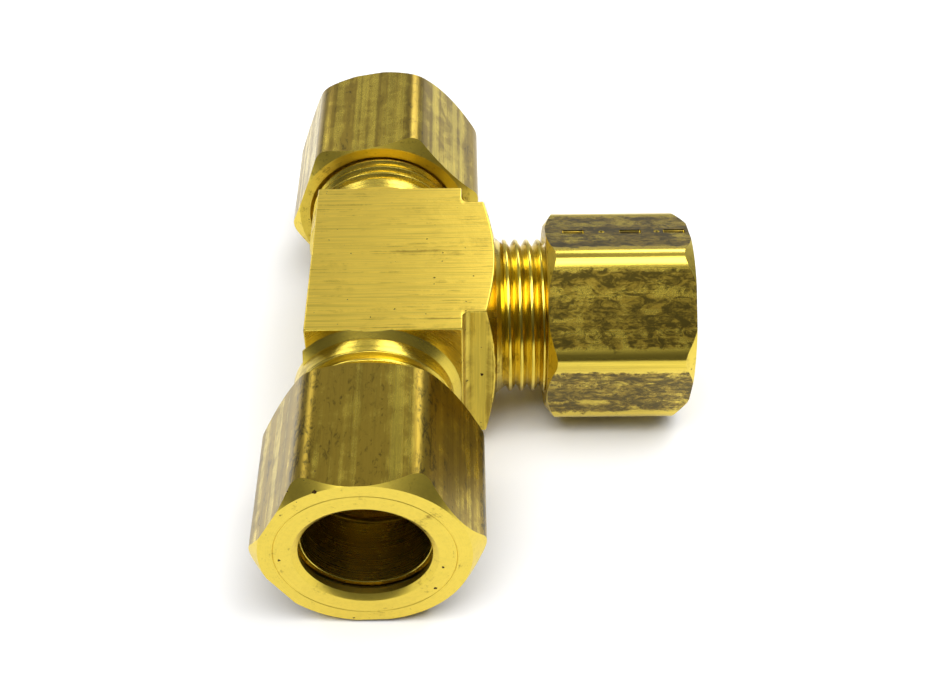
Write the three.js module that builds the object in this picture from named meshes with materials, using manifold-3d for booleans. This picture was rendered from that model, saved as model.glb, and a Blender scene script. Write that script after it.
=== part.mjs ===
// Compression union tee for 1/2 inch tube, with its three nuts and three sleeves.
// Millimetres, +Z up. The origin is the middle of the body's flat underside, straight below the point
// where the run (along Y) and the branch (towards +X) cross.
import * as THREE from "three";
import { mergeVertices } from "three/addons/utils/BufferGeometryUtils.js";
import Module from "manifold-3d";

const wasm = await Module();
wasm.setup();

// ---- driving dimensions -------------------------------------------------------------------------
const TUBE_OD = 12.7;
const TUBE_SLIP = 0.05;              // radial room for the tube in the body and the sleeve
const BODY_THICK = 18.3;             // sawn height of the body
const BODY_BACK = 6.9;               // run axis to the body's plain back
const BODY_FRONT = 9.64;             // run axis to the body's side, beside the branch
const BODY_HALF_RUN = 11.95;         // branch axis to each end of the body block
const STUB_HALF = 9.34;              // half width of the branch stub
const STUB_FACE = 13.21;             // turned face of the stub, where it meets the sawn top
const STUB_SLOPE = 0.276;            // how much that face falls back for each millimetre outwards
const NOTCH_FILLET = 0.8;
const SHOULDER_RADIUS = 9.43;        // turned shoulder at each end of the run block
const SHOULDER_END = 12.7;
const BAR_BACK = 8.0;                // run axis to the back of the bar where it is turned
const BRANCH_COLLAR = 8.8;           // the branch's collar narrows from this to the next value
const BRANCH_COLLAR_END = 8.2;

const PITCH = 1.27;                  // 20 threads to the inch
const THREAD_CREST = 8.6;            // half of the male thread's outer diameter, 11/16 inch nominal
const CREST_FLAT = 0.3;
const FLANK = Math.tan(Math.PI / 3); // 60 degree thread
const THREAD_ROOM = 0.28;            // radial room between the nut's thread and the body's
const CREST_AT = 14.45;              // where a crest passes straight over the top of each outlet
const TURN_STEPS = 20;

const ARM_END = 23.05;               // outer end of each threaded arm, from the crossing
const ARM_CHAMFER = 0.8;
const SOCKET_END = 12.0;             // where the tube stops
const PASSAGE_RADIUS = 5.3;
const MOUTH_RADIUS = 7.6;            // wide end of the arm's 24 degree seat
const SEAT_SLOPE = Math.tan(THREE.MathUtils.degToRad(12));

const HEX_FLATS = 20.64;             // 13/16 inch across the flats
const HEX_CORNER = 2;                // radius of the bar's rounded corners
const HEX_RUNOUT = 0.2;              // how far the hexagon is off the thread's axis
const HEX_RUNOUT_TURN = 15;          // degrees, from the hexagon's first corner
const CHAMFER_INNER = 0.75;          // axial fall of the inner chamfer for each millimetre outwards
const CHAMFER_INNER_RADIUS = 10.2;
const CHAMFER_OUTER = 1.2;
const CHAMFER_OUTER_RADIUS = 10.4;
const NUT_HOLE = 6.55;
const NUT_MOUTH = 7.1;
const NUT_MOUTH_DEEP = 0.45;
const NUT_LAND = 1.1;                // outer face to the start of the 45 degree inner shoulder
const NUT_COUNTERSINK = 9.0;

const SLEEVE_RADIUS = 7.7;
const SLEEVE_TIP = 6.85;             // radius of both thin ends
const SLEEVE_LONG = 7.4;
const SLEEVE_OUTER_END = 1.8;        // nut face to the sleeve's outer end
const SLEEVE_INNER_TAPER = 1.5;
const SLEEVE_OUTER_TAPER = 0.85;

const AXIS_HEIGHT = BODY_THICK / 2;
const ARM_ROOT = THREAD_CREST - ((PITCH - CREST_FLAT) / 2) * FLANK;

const RIGHT_ANGLE = Math.PI / 2;

// Each outlet is made along +Z and turned into place. top is the local angle that ends up uppermost,
// and face is the distance from the crossing to the nut's outer face.
const OUTLETS = [
  {
    name: "run_front",
    turn: new THREE.Euler(RIGHT_ANGLE, 0, 0),
    top: 90,
    face: 34.2,
    nutLong: 16.3,
    hexTurn: 1.4,
  },
  {
    name: "run_back",
    turn: new THREE.Euler(-RIGHT_ANGLE, 0, 0),
    top: -90,
    face: 34.2,
    nutLong: 16.0,
    hexTurn: -9.9,
  },
  {
    name: "branch",
    turn: new THREE.Euler(0, RIGHT_ANGLE, 0),
    top: 180,
    face: 34.65,
    nutLong: 15.85,
    hexTurn: 13.9,
  },
];

// ---- solids -------------------------------------------------------------------------------------
// A three.js geometry as a manifold solid, with its shared corners merged.
function solid(geometry) {
  const bare = geometry.clone();
  bare.deleteAttribute("normal");
  bare.deleteAttribute("uv");
  const merged = mergeVertices(bare, 1e-4);
  const mesh = new wasm.Mesh({
    numProp: 3,
    vertProperties: Float32Array.from(merged.attributes.position.array),
    triVerts: Uint32Array.from(merged.index.array),
  });
  return new wasm.Manifold(mesh);
}

function geometryOf(manifold) {
  const mesh = manifold.getMesh();
  const geometry = new THREE.BufferGeometry();
  geometry.setAttribute("position", new THREE.BufferAttribute(mesh.vertProperties, 3));
  geometry.setIndex(new THREE.BufferAttribute(mesh.triVerts, 1));
  geometry.computeVertexNormals();
  return geometry;
}

// A turned solid about +Z. The outline is [radius, height] pairs from the lowest point on the axis up.
function turned(outline) {
  const points = outline.map(([radius, height]) => new THREE.Vector2(radius, height));
  return solid(new THREE.LatheGeometry(points, TURN_STEPS).rotateX(Math.PI / 2));
}

function rod(radius, from, to) {
  return turned([[0, from], [radius, from], [radius, to], [0, to]]);
}

// A right-hand threaded rod about +Z, longer than from..to by up to two turns at each end.
// Its skin is one long strip that climbs like a stair: crest, far side of the crest, root.
function threadedRod(crest, root, from, to, topDegrees) {
  const across = [0, CREST_FLAT, (PITCH + CREST_FLAT) / 2];
  const radii = [crest, crest, root];
  const firstTurn = Math.floor((from - CREST_AT) / PITCH) - 1;
  const turns = Math.ceil((to - from) / PITCH) + 3;
  const start = CREST_AT - CREST_FLAT / 2 + firstTurn * PITCH;
  const columns = turns * TURN_STEPS;
  const top = THREE.MathUtils.degToRad(topDegrees);
  const corners = [];
  for (let column = 0; column <= columns + TURN_STEPS; column += 1) {
    const angle = top + (column / TURN_STEPS) * Math.PI * 2;
    const climb = start + (column / TURN_STEPS) * PITCH;
    const rows = column <= columns ? across.length : 1;
    for (let row = 0; row < rows; row += 1) {
      corners.push(radii[row] * Math.cos(angle), radii[row] * Math.sin(angle), climb + across[row]);
    }
  }
  const at = (column, row) => {
    if (row === across.length) return at(column + TURN_STEPS, 0);
    if (column <= columns) return column * across.length + row;
    return (columns + 1) * across.length + (column - columns - 1);
  };
  const low = corners.length / 3;
  corners.push(0, 0, start + PITCH / 2);
  const high = low + 1;
  corners.push(0, 0, start + (turns + 1.5) * PITCH);
  const faces = [];
  for (let column = 0; column < columns; column += 1) {
    for (let row = 0; row < across.length; row += 1) {
      const [a, b] = [at(column, row), at(column + 1, row)];
      const [c, d] = [at(column + 1, row + 1), at(column, row + 1)];
      faces.push(a, b, c, a, c, d);
    }
  }
  for (let step = 0; step < TURN_STEPS; step += 1) {
    faces.push(at(step, 0), low, at(step + 1, 0));
    faces.push(high, at(columns + step, 0), at(columns + step + 1, 0));
  }
  for (let row = 0; row < across.length; row += 1) {
    faces.push(low, at(0, row), at(0, row + 1));
    faces.push(at(columns, row), high, at(columns, row + 1));
  }
  const geometry = new THREE.BufferGeometry();
  geometry.setAttribute("position", new THREE.Float32BufferAttribute(corners, 3));
  geometry.setIndex(faces);
  return solid(geometry);
}

// Turns a solid made along +Z into its outlet's direction, at the height of the tube axes.
function placed(manifold, outlet) {
  const matrix = new THREE.Matrix4().makeRotationFromEuler(outlet.turn);
  matrix.setPosition(0, 0, AXIS_HEIGHT);
  return manifold.transform(matrix.elements);
}

// ---- tee body -----------------------------------------------------------------------------------
// The plan of the extruded bar that the body is sawn from.
function bodyPlan() {
  const fillet = NOTCH_FILLET;
  const plan = new THREE.Shape();
  plan.moveTo(-BODY_BACK, -BODY_HALF_RUN);
  plan.lineTo(BODY_FRONT, -BODY_HALF_RUN);
  plan.absarc(BODY_FRONT + fillet, -STUB_HALF - fillet, fillet, Math.PI, Math.PI / 2, true);
  plan.lineTo(STUB_FACE + 1, -STUB_HALF);
  plan.lineTo(STUB_FACE + 1, STUB_HALF);
  plan.absarc(BODY_FRONT + fillet, STUB_HALF + fillet, fillet, -Math.PI / 2, -Math.PI, true);
  plan.lineTo(BODY_FRONT, BODY_HALF_RUN);
  plan.lineTo(-BODY_BACK, BODY_HALF_RUN);
  return plan;
}

function bodyBlock() {
  const bar = new THREE.ExtrudeGeometry(bodyPlan(), {
    depth: BODY_THICK,
    bevelEnabled: false,
    curveSegments: 4,
  });
  const reach = 30;
  const tip = STUB_FACE + STUB_SLOPE * AXIS_HEIGHT;
  const facing = turned([[0, -reach], [reach, -reach], [reach, tip - STUB_SLOPE * reach], [0, tip]]);
  return solid(bar).intersect(placed(facing, OUTLETS[2]));
}

// The turned shoulder and collar between the block and the thread.
function branchCollar() {
  const foot = STUB_FACE - 2;
  const last = CREST_AT + 0.2;
  return turned([
    [0, foot],
    [BRANCH_COLLAR, foot],
    [BRANCH_COLLAR, STUB_FACE + 0.14],
    [BRANCH_COLLAR_END, CREST_AT - 0.35],
    [ARM_ROOT, last],
    [0, last],
  ]);
}

function runCollar() {
  const foot = BODY_HALF_RUN - 0.1;
  const whole = turned([
    [0, foot],
    [SHOULDER_RADIUS, foot],
    [THREAD_CREST, SHOULDER_END],
    [THREAD_CREST, CREST_AT],
    [0, CREST_AT],
  ]);
  const bar = new THREE.BoxGeometry(40, 40, 40).translate(20 - BAR_BACK, 0, 0);
  return whole.intersect(solid(bar));
}

function arm(outlet) {
  const thread = threadedRod(THREAD_CREST, ARM_ROOT, CREST_AT, ARM_END, outlet.top);
  const trim = turned([
    [0, CREST_AT - 0.3],
    [THREAD_CREST + 0.5, CREST_AT - 0.3],
    [THREAD_CREST + 0.5, ARM_END - ARM_CHAMFER - 0.5],
    [THREAD_CREST - ARM_CHAMFER, ARM_END],
    [0, ARM_END],
  ]);
  const collar = outlet.name === "branch" ? branchCollar() : runCollar();
  return collar.add(thread.intersect(trim));
}

// Everything that is bored out from one outlet: passage, tube socket and the seat for the sleeve.
function armBore() {
  const socket = TUBE_OD / 2 + TUBE_SLIP;
  const seatDeep = (MOUTH_RADIUS - socket) / SEAT_SLOPE;
  return turned([
    [0, 0],
    [PASSAGE_RADIUS, 0],
    [PASSAGE_RADIUS, SOCKET_END],
    [socket, SOCKET_END],
    [socket, ARM_END - seatDeep],
    [MOUTH_RADIUS, ARM_END],
    [MOUTH_RADIUS + SEAT_SLOPE, ARM_END + 1],
    [0, ARM_END + 1],
  ]);
}

function teeBody() {
  const slab = solid(new THREE.BoxGeometry(90, 90, BODY_THICK).translate(0, 0, AXIS_HEIGHT));
  let body = bodyBlock();
  for (const outlet of OUTLETS) body = body.add(placed(arm(outlet), outlet).intersect(slab));
  body = body.subtract(placed(rod(PASSAGE_RADIUS, -5, 5), OUTLETS[0]));
  for (const outlet of OUTLETS) body = body.subtract(placed(armBore(), outlet));
  return body;
}

// ---- nuts and sleeves ---------------------------------------------------------------------------
// A hexagon with rounded corners, its first corner at the given angle from local +X.
function hexagon(turnDegrees) {
  const centreOut = (HEX_FLATS / 2 - HEX_CORNER) / Math.cos(Math.PI / 6);
  const turn = THREE.MathUtils.degToRad(turnDegrees);
  const lean = turn + THREE.MathUtils.degToRad(HEX_RUNOUT_TURN);
  const [offX, offY] = [HEX_RUNOUT * Math.cos(lean), HEX_RUNOUT * Math.sin(lean)];
  const shape = new THREE.Shape();
  for (let corner = 0; corner < 6; corner += 1) {
    const angle = turn + (corner * Math.PI) / 3;
    const [x, y] = [offX + centreOut * Math.cos(angle), offY + centreOut * Math.sin(angle)];
    shape.absarc(x, y, HEX_CORNER, angle - Math.PI / 6, angle + Math.PI / 6, false);
  }
  return shape;
}

function nut(outlet) {
  const { face } = outlet;
  const inner = face - outlet.nutLong;
  const reach = 14;
  const prism = new THREE.ExtrudeGeometry(hexagon(outlet.hexTurn), {
    depth: outlet.nutLong,
    bevelEnabled: false,
    curveSegments: 4,
  });
  const chamfers = turned([
    [0, inner],
    [CHAMFER_INNER_RADIUS, inner],
    [reach, inner + (reach - CHAMFER_INNER_RADIUS) * CHAMFER_INNER],
    [reach, face - (reach - CHAMFER_OUTER_RADIUS) * CHAMFER_OUTER],
    [CHAMFER_OUTER_RADIUS, face],
    [0, face],
  ]);
  const crest = THREAD_CREST + THREAD_ROOM;
  const root = ARM_ROOT + THREAD_ROOM;
  const shoulderEnd = face - NUT_LAND - (root - NUT_HOLE);
  const thread = threadedRod(crest, root, inner, shoulderEnd, outlet.top);
  const threadTrim = turned([[0, inner - 2], [12, inner - 2], [12, shoulderEnd - 1], [0, shoulderEnd - 1]]);
  const countersink = turned([
    [0, inner - 1],
    [NUT_COUNTERSINK + 1, inner - 1],
    [root, inner + NUT_COUNTERSINK - root],
    [0, inner + NUT_COUNTERSINK - root],
  ]);
  const hole = turned([
    [0, shoulderEnd - 2],
    [root, shoulderEnd - 2],
    [root, shoulderEnd],
    [NUT_HOLE, face - NUT_LAND],
    [NUT_HOLE, face - NUT_MOUTH_DEEP],
    [NUT_MOUTH, face],
    [NUT_MOUTH + 1, face + 1],
    [0, face + 1],
  ]);
  const blank = solid(prism.translate(0, 0, inner)).intersect(chamfers);
  return placed(blank.subtract(thread.intersect(threadTrim)).subtract(countersink).subtract(hole), outlet);
}

function sleeve(outlet) {
  const outer = outlet.face - SLEEVE_OUTER_END;
  const inner = outer - SLEEVE_LONG;
  const bore = TUBE_OD / 2 + TUBE_SLIP;
  const points = [
    [bore, inner],
    [SLEEVE_TIP, inner],
    [SLEEVE_RADIUS, inner + SLEEVE_INNER_TAPER],
    [SLEEVE_RADIUS, outer - SLEEVE_OUTER_TAPER],
    [SLEEVE_TIP, outer],
    [bore, outer],
    [bore, inner],
  ];
  return placed(turned(points), outlet);
}

// ---- assembly -----------------------------------------------------------------------------------
function node(name, manifold, color, roughness) {
  const material = new THREE.MeshStandardMaterial({ color, roughness, metalness: 1 });
  const mesh = new THREE.Mesh(geometryOf(manifold), material);
  mesh.name = name;
  return mesh;
}

const tee = new THREE.Group();
tee.add(node("tee_body", teeBody(), 0xd9b64a, 0.32));
for (const outlet of OUTLETS) {
  tee.add(node(`${outlet.name}_nut`, nut(outlet), 0xb09a45, 0.4));
  tee.add(node(`${outlet.name}_sleeve`, sleeve(outlet), 0xd2ad55, 0.3));
}

export default tee;
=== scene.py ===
# %% [markdown]
# # A brass compression tee, one lesson in turned, sawn and drawn metal
# The object joins three lengths of half inch tube. It has seven loose pieces: a tee-shaped body
# with three threaded arms, three hexagon nuts, and inside each nut a sleeve that bites on the tube.
# Everything here is measured in metres, in the same frame as the imported CAD model.
# First the CAD model comes in as the frame.

import math

import bpy
from mathutils import Euler, Matrix, Vector


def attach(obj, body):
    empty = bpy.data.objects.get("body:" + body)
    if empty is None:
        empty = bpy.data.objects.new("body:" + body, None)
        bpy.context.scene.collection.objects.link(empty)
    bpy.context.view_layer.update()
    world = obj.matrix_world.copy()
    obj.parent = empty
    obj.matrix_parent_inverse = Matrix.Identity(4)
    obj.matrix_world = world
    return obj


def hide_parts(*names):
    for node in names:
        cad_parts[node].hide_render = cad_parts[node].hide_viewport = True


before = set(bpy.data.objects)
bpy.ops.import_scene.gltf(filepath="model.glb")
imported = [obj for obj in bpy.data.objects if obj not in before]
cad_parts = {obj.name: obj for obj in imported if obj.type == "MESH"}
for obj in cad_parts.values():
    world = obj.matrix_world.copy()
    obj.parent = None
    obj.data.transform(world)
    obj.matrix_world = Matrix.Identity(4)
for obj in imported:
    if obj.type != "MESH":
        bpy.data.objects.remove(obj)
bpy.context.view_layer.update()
MM = 0.001
print("CAD nodes:", sorted(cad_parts))

# %% [markdown]
# ## Camera
# The tee is seen along its run from above, nearly head-on, through a lens a little longer than
# normal. The camera is placed by its position, then by how far it is turned, tipped and rolled.

# %% Camera
CAMERA_AT = Vector((9.7, -119.0, 118.35)) * MM
CAMERA_TURN, CAMERA_TIP, CAMERA_ROLL = -0.152, 43.922, -0.463   # degrees
CAMERA_LENS, CAMERA_SENSOR = 54.77, 36.0                        # mm

camera_data = bpy.data.cameras.new("camera")
camera_data.lens = CAMERA_LENS
camera_data.sensor_width = CAMERA_SENSOR
camera_data.clip_start = 0.01
camera = bpy.data.objects.new("camera", camera_data)
bpy.context.scene.collection.objects.link(camera)
camera.matrix_world = (
    Matrix.Translation(CAMERA_AT)
    @ Matrix.Rotation(math.radians(CAMERA_TURN), 4, "Z")
    @ Matrix.Rotation(math.radians(90 - CAMERA_TIP), 4, "X")
    @ Matrix.Rotation(math.radians(CAMERA_ROLL), 4, "Z")
)
bpy.context.scene.camera = camera
bpy.context.scene.view_settings.view_transform = "Standard"
print("camera height, mm:", round(CAMERA_AT.z / MM, 1))

# %% [markdown]
# ## Light
# Brass is a mirror with a colour, so what it reflects matters more than how much light falls on it.
# A broad panel hangs overhead, a little to the front, and two panels stand behind like windows with
# a gap between them. The room itself is a soft gradient: dull in front, where the viewer stands,
# and brighter behind and above. That keeps the flats which face the viewer dark.

# %% Light panels
def light_panel(name, at, aim, size, brightness):
    """A rectangular light at a point, aimed at another, in metres. Brightness is per square metre."""
    data = bpy.data.lights.new(name, "AREA")
    data.shape = "RECTANGLE"
    data.size, data.size_y = size
    data.energy = brightness * size[0] * size[1] * math.pi
    lamp = bpy.data.objects.new(name, data)
    bpy.context.scene.collection.objects.link(lamp)
    lamp.location = at
    lamp.rotation_euler = (Vector(aim) - Vector(at)).to_track_quat("-Z", "Y").to_euler()
    lamp.visible_camera = False
    return lamp


ON_THE_TEE = (0.0, 0.0, 0.01)
light_panel("overhead", (0.06, -0.17, 0.70), ON_THE_TEE, (1.05, 0.44), 5.0)
light_panel("window_right", (0.25, 0.59, 0.48), ON_THE_TEE, (0.34, 0.28), 5.0)
light_panel("window_left", (-0.36, 0.54, 0.46), ON_THE_TEE, (0.18, 0.26), 3.4)

# %% The room around
ROOM_STARTS, ROOM_ENDS = -0.1, 0.9      # how far behind the gradient starts and ends, -1 to 1
ROOM_DULL, ROOM_BRIGHT = 0.06, 0.46     # in front of the tee, and behind it
ROOM_ABOVE = 0.10                       # added straight above

world = bpy.data.worlds.new("studio")
bpy.context.scene.world = world
world.use_nodes = True
room = world.node_tree
look = room.nodes.new("ShaderNodeTexCoord").outputs["Generated"]
parts = room.nodes.new("ShaderNodeSeparateXYZ")
room.links.new(look, parts.inputs[0])
behind = room.nodes.new("ShaderNodeMapRange")
behind.interpolation_type = "SMOOTHSTEP"
behind.inputs["From Min"].default_value = ROOM_STARTS
behind.inputs["From Max"].default_value = ROOM_ENDS
behind.inputs["To Min"].default_value = ROOM_DULL
behind.inputs["To Max"].default_value = ROOM_BRIGHT
room.links.new(parts.outputs["Y"], behind.inputs["Value"])
above = room.nodes.new("ShaderNodeMath")
above.operation = "MULTIPLY_ADD"
above.use_clamp = True
above.inputs[1].default_value = ROOM_ABOVE
room.links.new(parts.outputs["Z"], above.inputs[0])
room.links.new(behind.outputs[0], above.inputs[2])
room.links.new(above.outputs[0], room.nodes["Background"].inputs["Strength"])
room.nodes["Background"].inputs["Color"].default_value = (1.0, 1.0, 1.0, 1)
print("room nodes:", len(room.nodes))

# %% [markdown]
# ## Working by hand, in code
# Each piece is made with the operators that a person would use. An operator acts on everything that
# is selected, and loading the frame leaves its nodes selected, so each step starts by letting go of
# everything. `pick` then holds one object, and `combine` joins, cuts or trims it with another.

# %% Helpers for picking and combining
def let_go():
    bpy.ops.object.select_all(action="DESELECT")


def pick(piece):
    let_go()
    piece.select_set(True)
    bpy.context.view_layer.objects.active = piece
    return piece


def new_piece(name):
    """Names the object that a primitive operator has just made."""
    piece = bpy.context.object
    piece.name = name
    piece.data.name = name
    return piece


def finish_modifier(piece, modifier):
    pick(piece)
    bpy.ops.object.modifier_apply(modifier=modifier.name)


def combine(piece, tool, how):
    """UNION, DIFFERENCE or INTERSECT of a piece with a tool, which is used up."""
    modifier = piece.modifiers.new(how.lower(), "BOOLEAN")
    modifier.operation = how
    modifier.object = tool
    modifier.solver = "MANIFOLD"
    finish_modifier(piece, modifier)
    if piece.modifiers:
        raise RuntimeError(f"{piece.name}: {how} with {tool.name} failed")
    bpy.data.objects.remove(tool)
    return piece


def apply_place(piece):
    """Puts the object's place, turn and size into its mesh, so the object sits at the origin."""
    pick(piece)
    bpy.ops.object.transform_apply(location=True, rotation=True, scale=True)
    return piece


def place(piece, turn, lift):
    """Turns and lifts a piece, in radians and metres."""
    piece.rotation_euler = turn
    piece.location = (0, 0, lift)
    return apply_place(piece)


# %% [markdown]
# ## Turned shapes
# A lathe makes most of this object's surfaces: shoulders, bores, seats, chamfers and sleeves. The
# same thing by hand is one point, extruded along half of the section and spun round the axis. The
# spin doubles the points where it closes and on the axis, so they are merged, and the faces are
# turned outwards afterwards.

# %% Turned solids
LATHE_STEPS = 96
SPIN_MERGE = 0.0002       # mm, closer points become one


def drawn_outline(name, outline):
    """Half a section as a line of points, (radius, height) in millimetres, left in edit mode."""
    let_go()
    bpy.ops.mesh.primitive_plane_add(size=MM)
    piece = new_piece(name)
    bpy.ops.object.mode_set(mode="EDIT")
    bpy.ops.mesh.select_mode(type="VERT")
    bpy.ops.mesh.merge(type="COLLAPSE")
    radius, height = outline[0]
    bpy.ops.transform.translate(value=(radius * MM, 0, height * MM))
    for (radius, height), (next_radius, next_height) in zip(outline, outline[1:]):
        step = ((next_radius - radius) * MM, 0, (next_height - height) * MM)
        bpy.ops.mesh.extrude_vertices_move(TRANSFORM_OT_translate={"value": step})
    return piece


def turned(name, outline):
    """A solid turned about Z from (radius, height) pairs in millimetres."""
    piece = drawn_outline(name, outline)
    bpy.ops.mesh.select_all(action="SELECT")
    bpy.ops.mesh.spin(steps=LATHE_STEPS, angle=2 * math.pi, center=(0, 0, 0), axis=(0, 0, 1))
    bpy.ops.mesh.select_all(action="SELECT")
    bpy.ops.mesh.remove_doubles(threshold=SPIN_MERGE * MM)
    bpy.ops.mesh.normals_make_consistent(inside=False)
    bpy.ops.object.mode_set(mode="OBJECT")
    return piece


print("lathe steps:", LATHE_STEPS)

# %% [markdown]
# ## Threads
# The arms and the nuts have a 60 degree thread, 20 to the inch. Its section over one pitch is drawn
# as a line of points, from root to root over the crest, with the crest and root a little rounded as
# a cutter leaves them. The Screw modifier climbs one pitch a turn. Both ends are then open rings:
# each is filled, and the fill poked, which closes it with a fan well below the thread's root.
# The rod comes out too long, and every use trims it with a turned solid.

# %% Thread sizes
PITCH = 1.27              # one turn's climb
THREAD_CREST = 8.6        # the arms' outer radius
THREAD_DEPTH = 0.790
CREST_AT = 14.45          # how far out a crest passes over the top of each arm
THREAD_SECTION = [        # (along the axis, below the crest)
    (-0.635, THREAD_DEPTH),
    (-0.600, 0.768),
    (-0.560, 0.710),
    (-0.200, 0.087),
    (-0.160, 0.030),
    (-0.090, 0.0),
    (0.090, 0.0),
    (0.160, 0.030),
    (0.200, 0.087),
    (0.560, 0.710),
    (0.600, 0.768),
    (0.635, THREAD_DEPTH),
]
print("points in one pitch:", len(THREAD_SECTION))

# %% Threaded rods
THREAD_STEPS = 96
THREAD_MERGE = 0.001      # mm, closer points become one


def threaded_rod(name, crest, turns, first_crest, top_degrees):
    """A right-hand thread about Z whose crest passes first_crest mm up at the angle top_degrees."""
    piece = drawn_outline(name, [(crest - deep, along) for along, deep in THREAD_SECTION])
    bpy.ops.object.mode_set(mode="OBJECT")
    screw = piece.modifiers.new("climb", "SCREW")
    screw.axis = "Z"
    screw.angle = 2 * math.pi
    screw.screw_offset = PITCH * MM
    screw.iterations = turns
    screw.steps = THREAD_STEPS
    screw.render_steps = THREAD_STEPS
    screw.use_merge_vertices = True
    screw.merge_threshold = THREAD_MERGE * MM
    finish_modifier(piece, screw)
    bpy.ops.object.mode_set(mode="EDIT")
    bpy.ops.mesh.select_all(action="SELECT")
    bpy.ops.mesh.remove_doubles(threshold=THREAD_MERGE * MM)
    bpy.ops.mesh.select_all(action="DESELECT")
    bpy.ops.mesh.select_mode(type="EDGE")
    bpy.ops.mesh.select_non_manifold()
    bpy.ops.mesh.edge_face_add()
    bpy.ops.mesh.poke()
    bpy.ops.mesh.select_all(action="SELECT")
    bpy.ops.mesh.normals_make_consistent(inside=False)
    bpy.ops.mesh.select_mode(type="VERT")
    bpy.ops.object.mode_set(mode="OBJECT")
    shift = first_crest - top_degrees / 360 * PITCH
    return place(piece, (0, 0, 0), shift * MM)


print("thread depth, mm:", THREAD_DEPTH)

# %% [markdown]
# ## The three outlets
# The front and back ends of the run and the branch are alike: an arm, a nut and a sleeve on one
# axis. Each is made standing on Z, with its outlet pointing up, and is then turned into place, so
# one set of sizes serves all three. What differs is how the nuts are cut and how far round they
# are screwed on.
# `turn` takes Z to the outlet, and `top` is the angle round Z, in degrees, that then faces up.
# `face` is how far out the nut's outer face is, and `hex_turn` how far round its first corner is.

# %% Outlet sizes
BODY_THICK = 18.3
AXIS_LIFT = BODY_THICK / 2 * MM
QUARTER = math.pi / 2
OUTLETS = {
    "run_front": {
        "turn": (QUARTER, 0, 0), "top": 90, "face": 34.2, "nut_long": 16.3, "hex_turn": 1.4,
    },
    "run_back": {
        "turn": (-QUARTER, 0, 0), "top": -90, "face": 34.2, "nut_long": 16.0, "hex_turn": -9.9,
    },
    "branch": {
        "turn": (0, QUARTER, 0), "top": 180, "face": 34.65, "nut_long": 15.85, "hex_turn": 13.9,
    },
}
print("axis height, mm:", AXIS_LIFT / MM)

# %% [markdown]
# ## The body block
# The body is sawn from an extruded bar with a tee section, so its top and underside are sawn and
# its sides are drawn. A cube is scaled to the main block. Two cuts mark out the stub on its side,
# and the face between them is extruded. The inner corners get the bar's small fillets, and a
# turned cone trims the stub's end, as the lathe left it. Last comes a narrow bevel on every sharp
# edge, to catch the light.

# %% Selecting and bevelling
SHARP_EDGE = 30           # degrees, sharper edges are bevelled
BREAK_SEGMENTS = 3


def select_where(piece, mode, test):
    """In edit mode, selects only the faces or edges whose centre and direction pass the test."""
    bpy.ops.object.mode_set(mode="EDIT")
    bpy.ops.mesh.select_mode(type=mode)
    bpy.ops.mesh.select_all(action="DESELECT")
    bpy.ops.object.mode_set(mode="OBJECT")
    mesh = piece.data
    if mode == "FACE":
        for face in mesh.polygons:
            face.select = test(face.center, face.normal)
    elif mode == "EDGE":
        for edge in mesh.edges:
            ends = [mesh.vertices[index].co for index in edge.vertices]
            edge.select = test((ends[0] + ends[1]) / 2, (ends[1] - ends[0]).normalized())
    bpy.ops.object.mode_set(mode="EDIT")


def break_edges(piece, width):
    """A narrow bevel on every sharp edge."""
    bevel = piece.modifiers.new("break", "BEVEL")
    bevel.width = width * MM
    bevel.segments = BREAK_SEGMENTS
    bevel.limit_method = "ANGLE"
    bevel.angle_limit = math.radians(SHARP_EDGE)
    bevel.use_clamp_overlap = True
    finish_modifier(piece, bevel)


print("an edge is sharp from", SHARP_EDGE, "degrees")

# %% Body block
BODY_BACK, BODY_FRONT, BODY_HALF_RUN = 6.9, 9.64, 11.95
STUB_HALF, STUB_FACE, STUB_SLOPE = 9.34, 13.21, 0.276
NOTCH_FILLET, NOTCH_SEGMENTS = 0.8, 5
EDGE_BREAK = 0.2
BEYOND = 30               # mm, wider than the block
ALIGNED = 0.9             # a direction counts as along an axis from here
NEAR = 0.1 * MM


def body_block():
    let_go()
    middle = (BODY_FRONT - BODY_BACK) / 2 * MM
    bpy.ops.mesh.primitive_cube_add(
        size=1,
        location=(middle, 0, 0),
        scale=((BODY_FRONT + BODY_BACK) * MM, 2 * BODY_HALF_RUN * MM, BODY_THICK * MM),
    )
    piece = apply_place(new_piece("tee_brass_body"))
    bpy.ops.object.mode_set(mode="EDIT")
    for side in (-1, 1):
        bpy.ops.mesh.select_all(action="SELECT")
        bpy.ops.mesh.bisect(plane_co=(0, side * STUB_HALF * MM, 0), plane_no=(0, 1, 0))
    select_where(
        piece, "FACE", lambda at, normal: normal.x > ALIGNED and abs(at.y) < STUB_HALF * MM
    )
    reach = (STUB_FACE + 1 - BODY_FRONT) * MM
    bpy.ops.mesh.extrude_region_move(TRANSFORM_OT_translate={"value": (reach, 0, 0)})
    select_where(
        piece,
        "EDGE",
        lambda at, along: abs(along.z) > ALIGNED
        and abs(at.x - BODY_FRONT * MM) < NEAR
        and abs(abs(at.y) - STUB_HALF * MM) < NEAR,
    )
    bpy.ops.mesh.bevel(offset=NOTCH_FILLET * MM, segments=NOTCH_SEGMENTS, affect="EDGES")
    bpy.ops.object.mode_set(mode="OBJECT")
    facing = turned("facing", [
        (0, -BEYOND), (BEYOND, -BEYOND),
        (BEYOND, STUB_FACE - STUB_SLOPE * (BEYOND - BODY_THICK / 2)),
        (0, STUB_FACE + STUB_SLOPE * BODY_THICK / 2),
    ])
    place(facing, OUTLETS["branch"]["turn"], 0)
    combine(piece, facing, "INTERSECT")
    break_edges(piece, EDGE_BREAK)
    return place(piece, (0, 0, 0), AXIS_LIFT)


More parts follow.
